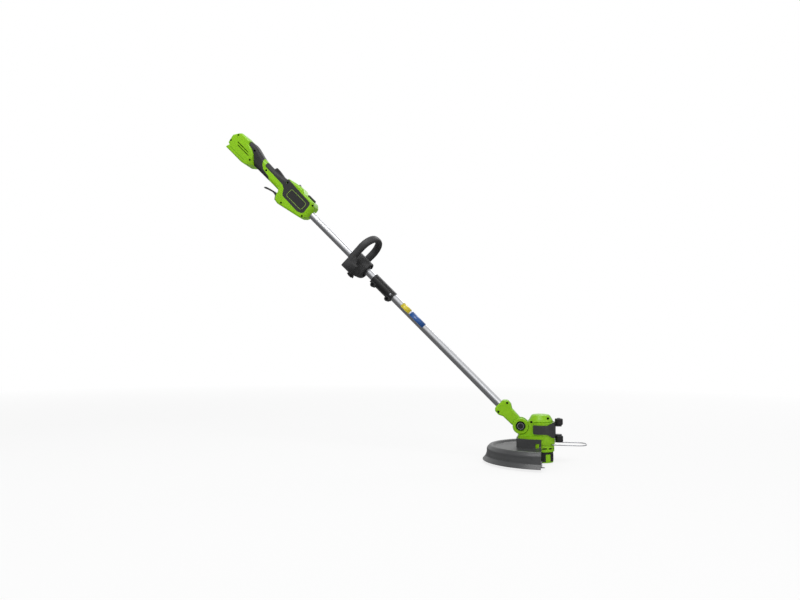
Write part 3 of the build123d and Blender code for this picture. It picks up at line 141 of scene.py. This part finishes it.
def colour(red, green, blue):
    """An sRGB colour, 0 to 255, as linear light."""
    return tuple(
        (c / 255 / 12.92 if c < 11 else ((c / 255 + 0.055) / 1.055) ** 2.4)
        for c in (red, green, blue)
    ) + (1.0,)


class Finish(Graph):
    """A surface finish on the piece's own coordinates."""

    def __init__(self, name):
        self.material = bpy.data.materials.new(name)
        self.material.use_nodes = True
        super().__init__(self.material.node_tree)
        self.tree.nodes.clear()
        self.place = self.node("ShaderNodeTexCoord", out="Object")

    def noise(self, scale, detail=2.0, rough=0.5, place=None):
        return self.node(
            "ShaderNodeTexNoise",
            {"noise_dimensions": "3D"},
            {"Vector": place or self.place, "Scale": scale, "Detail": detail, "Roughness": rough},
        )

    def cells(self, scale):
        return self.node(
            "ShaderNodeTexVoronoi", {"feature": "F1"}, {"Vector": self.place, "Scale": scale}
        )

    def spread(self, value, span, result):
        return self.node(
            "ShaderNodeMapRange",
            {"clamp": True},
            {
                "Value": value,
                "From Min": span[0],
                "From Max": span[1],
                "To Min": result[0],
                "To Max": result[1],
            },
        )

    def tones(self, pattern, dark, light):
        return self.node(
            "ShaderNodeMix",
            {"data_type": "RGBA"},
            {
                MIX_FACTOR: self.spread(pattern, NOISE_SPAN, (0.0, 1.0)),
                MIX_FIRST: dark,
                MIX_SECOND: light,
            },
            out=MIX_RESULT,
        )

    def raised(self, height, distance):
        return self.node(
            "ShaderNodeBump", {}, {"Height": height, "Distance": distance, "Strength": 1.0}
        )

    def along(self, turn, stretch):
        turned = self.node("ShaderNodeMapping", {}, {"Vector": self.place, "Rotation": turn})
        return self.node("ShaderNodeMapping", {}, {"Vector": turned, "Scale": stretch})

    def surface(self, **sockets):
        named = {key.replace("_", " "): value for key, value in sockets.items()}
        shader = self.node("ShaderNodeBsdfPrincipled", {}, named)
        self.node("ShaderNodeOutputMaterial", {}, {"Surface": shader})
        return self.material


def moulded_green():
    f = Finish("moulded_green")
    cloud = f.noise(scale=9.0, detail=3.0)
    grain = f.noise(scale=1400.0)
    return f.surface(
        Base_Color=f.tones(cloud, colour(124, 179, 0), colour(135, 192, 3)),
        Roughness=f.spread(cloud + grain * GREEN_GRAIN_SHARE, SUM_SPAN, (0.30, 0.42)),
        Normal=f.raised(grain, distance=0.00003),
        Specular_IOR_Level=0.36,
    )


def soft_black():
    f = Finish("soft_black")
    cloud = f.noise(scale=14.0, detail=3.0)
    cell = f.cells(scale=900.0)
    return f.surface(
        Base_Color=f.tones(cloud, colour(30, 30, 31), colour(42, 42, 43)),
        Roughness=f.spread(cell, CELL_SPAN, (0.52, 0.68)),
        Normal=f.raised(cell, distance=0.00012),
        Specular_IOR_Level=0.4,
    )


def moulded_black():
    f = Finish("moulded_black")
    cloud = f.noise(scale=16.0, detail=3.0)
    grain = f.noise(scale=1100.0)
    return f.surface(
        Base_Color=f.tones(cloud, colour(18, 18, 19), colour(28, 28, 30)),
        Roughness=f.spread(grain, NOISE_SPAN, (0.40, 0.54)),
        Normal=f.raised(grain, distance=0.00008),
        Specular_IOR_Level=0.45,
    )


def stippled_black():
    f = Finish("stippled_black")
    cloud = f.noise(scale=18.0, detail=3.0)
    cell = f.cells(scale=520.0)
    return f.surface(
        Base_Color=f.tones(cloud, colour(34, 34, 35), colour(47, 47, 48)),
        Roughness=f.spread(cell, CELL_SPAN, (0.46, 0.64)),
        Normal=f.raised(cell, distance=0.0002),
        Specular_IOR_Level=0.45,
    )


def guard_grey():
    f = Finish("guard_grey")
    cloud = f.noise(scale=6.0, detail=3.0)
    grain = f.noise(scale=900.0)
    return f.surface(
        Base_Color=f.tones(cloud, colour(52, 53, 54), colour(66, 67, 68)),
        Roughness=f.spread(cloud + grain * SECOND_SHARE, SUM_SPAN, (0.30, 0.42)),
        Normal=f.raised(grain, distance=0.00005),
        Specular_IOR_Level=0.40,
    )


def drawn_aluminium():
    f = Finish("drawn_aluminium")
    drawn = f.along(turn=(0, math.radians(-45), 0), stretch=(6.0, 2600.0, 2600.0))
    lines = f.noise(scale=1.0, detail=3.0, rough=0.6, place=drawn)
    cloud = f.noise(scale=12.0)
    return f.surface(
        Base_Color=f.tones(lines, colour(176, 177, 180), colour(204, 205, 208)),
        Metallic=1.0,
        Roughness=f.spread(lines + cloud * SECOND_SHARE, SUM_SPAN, (0.24, 0.36)),
        Normal=f.raised(lines, distance=0.00002),
    )


def plated_metal(name, dark, light):
    f = Finish(name)
    cloud = f.noise(scale=60.0, detail=3.0)
    grain = f.noise(scale=1500.0)
    return f.surface(
        Base_Color=f.tones(cloud, dark, light),
        Metallic=1.0,
        Roughness=f.spread(cloud + grain * SECOND_SHARE, SUM_SPAN, (0.26, 0.40)),
        Normal=f.raised(grain, distance=0.00002),
    )


def bare_plate():
    f = Finish("bare_plate")
    grain = f.noise(scale=1800.0)
    cloud = f.noise(scale=20.0)
    return f.surface(
        Base_Color=f.tones(cloud, colour(12, 12, 13), colour(20, 20, 21)),
        Roughness=f.spread(grain, NOISE_SPAN, (0.26, 0.36)),
        Normal=f.raised(grain, distance=0.00003),
    )


def printed_film(name, tint, darker=0.86):
    f = Finish(name)
    cloud = f.noise(scale=40.0)
    shade = tuple(darker * c for c in tint[:3]) + (1.0,)
    return f.surface(
        Base_Color=f.tones(cloud, shade, tint),
        Roughness=f.spread(cloud, NOISE_SPAN, (0.28, 0.36)),
    )


def coated_board():
    f = Finish("coated_board")
    cloud = f.noise(scale=200.0)
    return f.surface(
        Base_Color=f.tones(cloud, colour(14, 62, 34), colour(24, 84, 48)),
        Roughness=f.spread(cloud, NOISE_SPAN, (0.36, 0.5)),
    )


GREEN = moulded_green()
SOFT = soft_black()
BLACK = moulded_black()
STIPPLE = stippled_black()
GREY = guard_grey()
TUBE = drawn_aluminium()
STEEL = plated_metal("plated_steel", colour(150, 151, 155), colour(178, 179, 184))
DARK_STEEL = plated_metal("dark_screw", colour(26, 26, 27), colour(40, 40, 42))
CUTTER_STEEL = plated_metal("cutter_steel", colour(70, 70, 72), colour(110, 110, 112))
BRASS = plated_metal("contact_brass", colour(176, 142, 78), colour(198, 164, 98))
PLATE = bare_plate()
BOARD = coated_board()
KEYLINE = printed_film("keyline_green", colour(150, 190, 70))
YELLOW = printed_film("band_yellow", colour(206, 188, 40))
BLUE = printed_film("band_blue", colour(20, 76, 142))

FINISHES = {
    GREEN: "housing_right housing_left neck_right neck_left case_right case_left spool_skirt "
    "guard_latches spool_cover",
    SOFT: "rear_pad_right rear_pad_left grip_inlay_right grip_inlay_left",
    BLACK: "trigger lock_off_lever top_lug lamp_stud coupler_sleeve clamp_knob tilt_button "
    "upper_roller lower_roller spool_cup trigger_switch terminal_block line_spool",
    STIPPLE: "loop_handle handle_clamp",
    GREY: "bumper_band guard",
    TUBE: "upper_tube lower_tube",
    STEEL: "trigger_pin trigger_spring lock_off_pin lock_off_spring catch_spring coupler_catch "
    "clamp_bolt tilt_button_spring roller_axles lower_bearing drive_shaft plant_guard tilt_pin "
    "line_eyelets spool_spring motor",
    DARK_STEEL: "housing_screws neck_screws head_screws coupler_bolts coupler_nuts cutter_screws "
    "tilt_ring",
    CUTTER_STEEL: "line_cutter",
    BRASS: "contact_blades",
    PLATE: "label_plate_right label_plate_left",
    BOARD: "control_board",
}
for finish, names in FINISHES.items():
    for name in names.split():
        slots = nodes[name].data.materials
        if slots:
            for i in range(len(slots)):
                slots[i] = finish
        else:
            slots.append(finish)


def piece(name, mesh, finish, body):
    """A finished piece at the origin, riding on its body."""
    mesh.materials.clear()
    mesh.materials.append(finish)
    item = bpy.data.objects.new(name, mesh)
    bpy.context.scene.collection.objects.link(item)
    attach(item, body)
    return item


def bridge(work, first, second, closed=True):
    """Faces between two rows of points."""
    count = len(first)
    for k in range(count if closed else count - 1):
        n = (k + 1) % count
        work.faces.new((first[k], first[n], second[n], second[k]))


def as_mesh(work, name, smooth=False):
    """The worked shape as a plain mesh."""
    mesh = bpy.data.meshes.new(name)
    work.to_mesh(mesh)
    work.free()
    for polygon in mesh.polygons:
        polygon.use_smooth = smooth
    return mesh


# The loop's band is widened along the shaft by a share of each point's distance from the loop's middle, and
# leans outwards a little. It grows from a foot's lower end to its upper end, on the arms and the arch alone.
BAND_SHARE = 0.48
BAND_LEAN = 0.06
FOOT_LOW, FOOT_HIGH = -0.014, 0.018
ARM_INSIDE = 0.038
ARCH_LOW = 0.030
SAME_POINT = 1e-6
CREASE = math.radians(32)


def loop_band():
    """The loop's arch with its wide soft band, which fades out towards the feet."""
    work = bmesh.new()
    work.from_mesh(nodes["loop_handle"].data)
    bmesh.ops.remove_doubles(work, verts=work.verts, dist=SAME_POINT)
    for vert in work.verts:
        from_middle = vert.co - LOOP_MIDDLE
        rise = (from_middle.dot(OUT) - FOOT_LOW) / (FOOT_HIGH - FOOT_LOW)
        rise = min(max(rise, 0.0), 1.0)
        if abs(vert.co.y) > ARM_INSIDE or from_middle.dot(OUT) > ARCH_LOW:
            wider = from_middle.dot(LOOP_ACROSS) * BAND_SHARE + vert.co.y * BAND_LEAN
            vert.co += ALONG * wider * rise * rise * (3 - 2 * rise)
    mesh = as_mesh(work, "loop_band", smooth=True)
    mesh.set_sharp_from_angle(angle=CREASE)
    return mesh


band = piece("loop_band", loop_band(), STIPPLE, "loop")
band.modifiers.new("even_shading", "WEIGHTED_NORMAL").keep_sharp = True
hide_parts("loop_handle")

# The line round the bare plate: its outer edge along and across the shaft, then its own section.
LINE_REAR, LINE_FRONT = 0.1000, 0.1765
LINE_LOW, LINE_HIGH = -0.0127, 0.0170
LINE_CORNER = 0.0070
LINE_WIDTH = 0.0012
LINE_SLOPE = 0.0001
LINE_RISE = 0.0002
CORNER_STEPS = 8


def line_outline(inset):
    """Points of the line's rounded edge, drawn in by the inset."""
    rear, front = LINE_REAR + LINE_CORNER, LINE_FRONT - LINE_CORNER
    low, high = LINE_LOW + LINE_CORNER, LINE_HIGH - LINE_CORNER
    radius = LINE_CORNER - inset
    points = []
    for u, t, start in ((front, high, 0), (rear, high, 90), (rear, low, 180), (front, low, 270)):
        for k in range(CORNER_STEPS + 1):
            angle = math.radians(start + 90 * k / CORNER_STEPS)
            points.append((u + radius * math.cos(angle), t + radius * math.sin(angle)))
    return points


def keyline(side):
    """Thin raised line round the bare plate."""
    section = (
        (0.0, 0.0),
        (LINE_SLOPE, LINE_RISE),
        (LINE_WIDTH - LINE_SLOPE, LINE_RISE),
        (LINE_WIDTH, 0.0),
    )
    work = bmesh.new()
    rows = []
    for inset, lift in section:
        face = NEAR * side * (FRONT_HALF + lift)
        rows.append([work.verts.new(ALONG * u + OUT * t + face) for u, t in line_outline(inset)])
    for first, second in zip(rows, rows[1:] + rows[:1]):
        bridge(work, first, second)
    bmesh.ops.recalc_face_normals(work, faces=work.faces)
    return as_mesh(work, "keyline")


piece("plate_keyline_right", keyline(1), KEYLINE, "frame")
piece("plate_keyline_left", keyline(-1), KEYLINE, "frame")


def knuckle_rest():
    """Web of the head's housing under the pivot knuckle, hollowed to the knuckle's round."""
    rear, front = -0.006, 0.020
    low, half = -0.0300, 0.0255
    hollow_r = 0.0253
    steps = 12
    outline = [(rear, low), (front, low)]
    for k in range(steps + 1):
        x = front + (rear - front) * k / steps
        outline.append((x, -math.sqrt(hollow_r**2 - x**2)))
    work = bmesh.new()
    sides = [
        [work.verts.new(PIVOT + Vector((x, y, z))) for x, z in outline] for y in (-half, half)
    ]
    for side in sides:
        work.faces.new(side)
    bridge(work, *sides)
    bmesh.ops.recalc_face_normals(work, faces=work.faces)
    return as_mesh(work, "knuckle_rest")


piece("knuckle_rest", knuckle_rest(), GREEN, "head")

# The two films on the lower tube: ends along the shaft, degrees round it, inner and outer radius.
YELLOW_ENDS = (0.647, 0.683)
BLUE_ENDS = (0.688, 0.748)
FILM_START, FILM_STOP = -14, 96
FILM_INNER, FILM_OUTER = TUBE_R + 0.00002, TUBE_R + 0.00016
FILM_STEPS = 36


def film_edge(work, u, radius):
    """Points on one edge of a film, round the shaft."""
    points = []
    for k in range(FILM_STEPS + 1):
        angle = math.radians(FILM_START + (FILM_STOP - FILM_START) * k / FILM_STEPS)
        outward = OUT * math.sin(angle) + NEAR * math.cos(angle)
        points.append(work.verts.new(ALONG * u + outward * radius))
    return points


def tube_band(ends):
    """Thin film wrapped part of the way round the shaft."""
    work = bmesh.new()
    low_in, low_out, high_in, high_out = [
        film_edge(work, u, radius) for u in ends for radius in (FILM_INNER, FILM_OUTER)
    ]
    loop = [low_in, low_out, high_out, high_in]
    for first, second in zip(loop, loop[1:] + loop[:1]):
        bridge(work, first, second, closed=False)
    for k in (0, FILM_STEPS):
        work.faces.new([edge[k] for edge in loop])
    bmesh.ops.recalc_face_normals(work, faces=work.faces)
    return as_mesh(work, "tube_band", smooth=True)


piece("tube_band_yellow", tube_band(YELLOW_ENDS), YELLOW, "frame")
piece("tube_band_blue", tube_band(BLUE_ENDS), BLUE, "frame")

RIB_SIDES = 14


def ribs(name, sizes, runs, finish, body):
    """Round ribs set out by a node tree; each run is a node that gives the ribs' places."""
    tree = bpy.data.node_groups.new(name, "GeometryNodeTree")
    tree.interface.new_socket("Geometry", in_out="OUTPUT", socket_type="NodeSocketGeometry")
    for label in sizes:
        kind = "NodeSocketRotation" if label == "Turn" else "NodeSocketFloat"
        tree.interface.new_socket(label, in_out="INPUT", socket_type=kind)
    graph = Graph(tree)
    given = {label: graph.node("NodeGroupInput", out=label) for label in sizes}
    bar = graph.node(
        "GeometryNodeMeshCylinder",
        {},
        {"Vertices": RIB_SIDES, "Radius": given["Rib radius"], "Depth": given["Rib length"]},
    )
    placed = [
        graph.node(
            "GeometryNodeInstanceOnPoints",
            {},
            {"Points": run(graph, given), "Instance": bar, "Rotation": given["Turn"]},
        )
        for run in runs
    ]
    whole = graph.node("GeometryNodeJoinGeometry", {}, {"Geometry": placed})
    solid = graph.node("GeometryNodeRealizeInstances", {}, {"Geometry": whole})
    coated = graph.node("GeometryNodeSetMaterial", {}, {"Geometry": solid, "Material": finish})
    graph.node("NodeGroupOutput", {}, {"Geometry": coated})

    holder = bpy.data.objects.new(name, bpy.data.meshes.new(name))
    bpy.context.scene.collection.objects.link(holder)
    modifier = holder.modifiers.new("ribs", "NODES")
    modifier.node_group = tree
    for item in tree.interface.items_tree:
        if item.in_out == "INPUT":
            modifier[item.identifier] = sizes[item.name]
    view = bpy.context.evaluated_depsgraph_get()
    mesh = bpy.data.meshes.new_from_object(holder.evaluated_get(view), depsgraph=view)
    holder.modifiers.remove(modifier)
    bpy.data.objects.remove(holder)
    piece(name, mesh, finish, body)


def arc_run(centre, start, sweep, count):
    """Places on an arc about an upright axis, start and sweep in degrees."""

    def places(graph, given):
        curve = graph.node(
            "GeometryNodeCurveArc",
            {"mode": "RADIUS"},
            {
                "Radius": given["Reach"],
                "Start Angle": math.radians(start),
                "Sweep Angle": math.radians(sweep),
            },
        )
        dots = graph.node(
            "GeometryNodeCurveToPoints", {"mode": "COUNT"}, {"Curve": curve, "Count": count}
        )
        return graph.node("GeometryNodeTransform", {}, {"Geometry": dots, "Translation": centre})

    return places


def line_run(first, step, count):
    """Places in a straight row."""

    def places(graph, given):
        return graph.node(
            "GeometryNodeMeshLine",
            {"mode": "OFFSET"},
            {"Count": count, "Start Location": first, "Offset": step},
        )

    return places


UPRIGHT = (0, 0, 0)
CROSSWISE = (math.radians(90), 0, 0)
ROLLER_SINK = 0.00065
CUP_SINK = 0.0004

ROLLER_RIBS = {
    "Rib radius": 0.0009,
    "Rib length": 0.0136,
    "Reach": ROLLER_R - ROLLER_SINK,
    "Turn": UPRIGHT,
}
ROLLER_COUNT = 20
ROLLER_SWEEP = 360 * (ROLLER_COUNT - 1) / ROLLER_COUNT
for name, centre, body in (
    ("upper_roller_ribs", UPPER_ROLLER, "upper_wheel"),
    ("lower_roller_ribs", LOWER_ROLLER, "lower_wheel"),
):
    ribs(name, ROLLER_RIBS, [arc_run(centre, 0, ROLLER_SWEEP, ROLLER_COUNT)], BLACK, body)

CUP_RIBS = {
    "Rib radius": 0.0009,
    "Rib length": 0.019,
    "Reach": CUP_R - CUP_SINK,
    "Turn": UPRIGHT,
}
CUP_STARTS = (-40, 47, 140, -133)
CUP_SWEEP = 57
CUP_COUNT = 8
CUP_RUNS = [arc_run(CUP_MIDDLE, start, CUP_SWEEP, CUP_COUNT) for start in CUP_STARTS]
ribs("spool_cup_ribs", CUP_RIBS, CUP_RUNS, BLACK, "spool_head")

LEVER_RIBS = {"Rib radius": 0.0008, "Rib length": 0.011, "Turn": CROSSWISE}
LEVER_FIRST = ALONG * 0.0125 + OUT * 0.0297
LEVER_STEP = ALONG * 0.0035 - OUT * 0.0005
LEVER_COUNT = 7
LEVER_RUN = line_run(LEVER_FIRST, LEVER_STEP, LEVER_COUNT)
ribs("lock_off_ribs", LEVER_RIBS, [LEVER_RUN], BLACK, "lock_off")

# Studio: pale floor under the part, plain soft light, camera at the photograph's angle.
FLOOR_R = 14.0
FLOOR_SIDES = 96
FLOOR_DROP = 0.0004
FLOOR_MIDDLE = Vector((0.5, 0, cad_low.z - FLOOR_DROP))
FADE_SPAN = (1.6, 4.5)
WHITE_SHARES = (0.82, 1.0)
WHITE = (1, 1, 1, 1)
FLOOR_GREY = (0.80, 0.80, 0.80, 1)
MIRRORED_GREY = (0.20, 0.20, 0.20, 1)


def pale_floor():
    """Matt grey that takes the shadow and goes over to white away from the part."""
    f = Finish("pale_floor")
    reach = f.node("ShaderNodeVectorMath", {"operation": "LENGTH"}, {0: f.place}, out="Value")
    seen = f.node("ShaderNodeLightPath", out="Is Camera Ray")
    mirrored = f.node("ShaderNodeLightPath", out="Is Glossy Ray")
    glow = f.node("ShaderNodeEmission", {}, {"Color": WHITE, "Strength": 1.0})
    dim = f.node("ShaderNodeEmission", {}, {"Color": MIRRORED_GREY, "Strength": 1.0})
    matt = f.node("ShaderNodeBsdfDiffuse", {}, {"Color": FLOOR_GREY})
    shaded = 1 - f.spread(reach, FADE_SPAN, WHITE_SHARES) * seen
    direct = f.node("ShaderNodeMixShader", {}, {0: shaded, 1: glow, 2: matt})
    whole = f.node("ShaderNodeMixShader", {}, {0: mirrored, 1: direct, 2: dim})
    f.node("ShaderNodeOutputMaterial", {}, {"Surface": whole})
    return f.material


disc = bmesh.new()
bmesh.ops.create_circle(disc, cap_ends=True, segments=FLOOR_SIDES, radius=FLOOR_R)
bmesh.ops.translate(disc, verts=disc.verts, vec=FLOOR_MIDDLE)
floor = bpy.data.objects.new("floor", as_mesh(disc, "floor"))
floor.data.materials.append(pale_floor())
bpy.context.scene.collection.objects.link(floor)

# The world lights softly and shows white; polished pieces mirror a dark ground and a bright sky.
SOFT_LIGHT = 0.46
DARK_SKY = (0.10, 0.10, 0.10, 1)
BRIGHT_SKY = (0.95, 0.95, 0.95, 1)
SKY_STOPS = [(0.0, DARK_SKY), (0.46, DARK_SKY), (0.60, BRIGHT_SKY), (1.0, BRIGHT_SKY)]

world = bpy.data.worlds.new("studio")
bpy.context.scene.world = world
world.use_nodes = True
sky = Graph(world.node_tree)
sky.tree.nodes.clear()
heading = sky.node("ShaderNodeTexCoord", out="Generated")
height = sky.node("ShaderNodeSeparateXYZ", {}, {0: heading}, out="Z")
shade = sky.node("ShaderNodeValToRGB", {"stops": SKY_STOPS}, {"Fac": height * 0.5 + 0.5})
seen = sky.node("ShaderNodeLightPath", out="Is Camera Ray")
mirrored = sky.node("ShaderNodeLightPath", out="Is Glossy Ray")
passed = sky.node("ShaderNodeLightPath", out="Is Transmission Ray")
soft = sky.node("ShaderNodeBackground", {}, {"Color": WHITE, "Strength": SOFT_LIGHT})
mirror = sky.node("ShaderNodeBackground", {}, {"Color": shade, "Strength": 1.0})
white = sky.node("ShaderNodeBackground", {}, {"Color": WHITE, "Strength": 1.0})
lit = sky.node("ShaderNodeMixShader", {}, {0: mirrored, 1: soft, 2: mirror})
lit = sky.node("ShaderNodeMixShader", {}, {0: seen | passed, 1: lit, 2: white})
sky.node("ShaderNodeOutputWorld", {}, {"Surface": lit})

LAMP_AIM = Vector((0.45, 0, -0.45))


def lamp(name, place, size, power):
    """A round soft lamp, turned to the middle of the part."""
    light = bpy.data.lights.new(name, "AREA")
    light.shape = "DISK"
    light.size = size
    light.energy = power
    item = bpy.data.objects.new(name, light)
    item.location = place
    item.rotation_euler = (LAMP_AIM - Vector(place)).to_track_quat("-Z", "Y").to_euler()
    bpy.context.scene.collection.objects.link(item)


lamp("key_lamp", place=(0.3, -1.7, 2.3), size=1.8, power=62)
lamp("fill_lamp", place=(2.6, -2.2, 0.2), size=2.2, power=14)
lamp("rim_lamp", place=(1.2, 2.4, 1.6), size=1.6, power=26)

# The camera's place and directions come from fitting the part to the photograph.
CAMERA_PLACE = Vector((0.87805909, -2.15230571, -0.59950208))
CAMERA_RIGHT = Vector((0.980954, 0.194234, 0.001447))
CAMERA_UP = Vector((0.012755, -0.071843, 0.997334))
CAMERA_TOWARD = Vector((-0.193821, 0.978321, 0.072952))

camera_data = bpy.data.cameras.new("camera")
camera_data.sensor_width = 36.0
camera_data.lens = 30.2067
camera_data.clip_end = 60
camera = bpy.data.objects.new("camera", camera_data)
bpy.context.scene.collection.objects.link(camera)
turn = Matrix((CAMERA_RIGHT, CAMERA_UP, -CAMERA_TOWARD)).transposed()
camera.matrix_world = Matrix.Translation(CAMERA_PLACE) @ turn.to_4x4()
bpy.context.scene.camera = camera
bpy.context.scene.view_settings.view_transform = "Standard"
